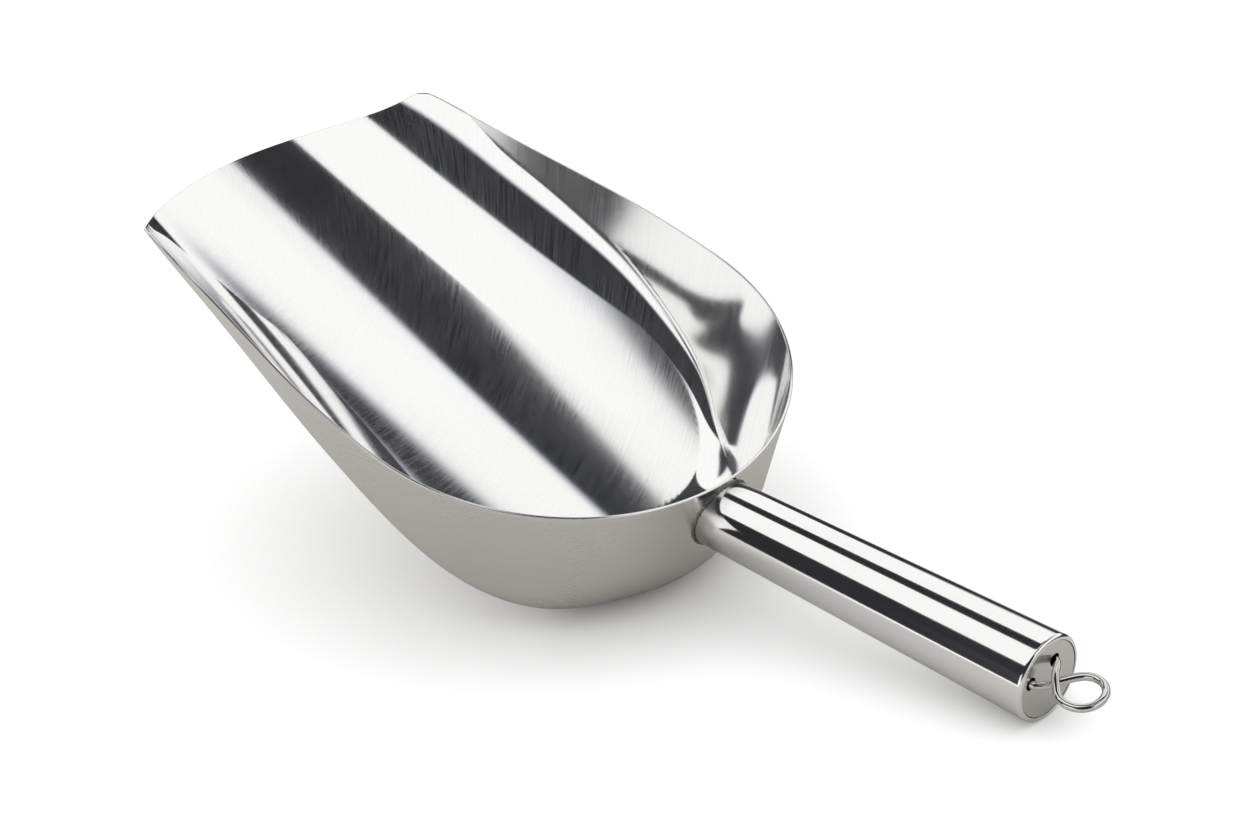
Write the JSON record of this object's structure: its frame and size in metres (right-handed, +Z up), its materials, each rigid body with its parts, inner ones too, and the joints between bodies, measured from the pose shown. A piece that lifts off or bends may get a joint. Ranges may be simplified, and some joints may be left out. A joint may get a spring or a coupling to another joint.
{
  "type": "ice scoop",
  "caption": "Deep stainless ice scoop: rounded bowl with a bulging pouring lip, tapered tube handle welded to the back, flat end cap and tilting wire hanging loop.",
  "frame": {"origin": "middle of the bounding box in X and Y, at table level in Z, with the scoop at rest on the heel of its bowl and the lower edge of its handle's end", "axes": "+X from the handle to the pouring lip, +Y to the left seen from the handle, +Z up from the table"},
  "size_m": [0.3744, 0.158, 0.1174],
  "materials": {
    "bowl_steel": "polished inside with fine brush lines, satin outside",
    "tube_steel": "mirror polished stainless steel",
    "weld_steel": "dark, lightly dressed weld",
    "cap_steel": "fine satin",
    "wire_steel": "polished stainless wire"
  },
  "bodies": {
    "scoop": {"scoop_bowl": "bowl_steel", "handle_tube": "tube_steel", "handle_weld": "weld_steel", "end_cap": "cap_steel"},
    "loop": {"hanging_loop": "wire_steel"}
  },
  "joints": [
    {"name": "loop_tilt", "type": "hinge", "parent": "scoop", "child": "loop", "pos_m": [-0.16451, 0.0027, 0.01775], "axis": [-0.0366, -0.9703, 0.2391], "range_deg": [-25, 25]}
  ]
}
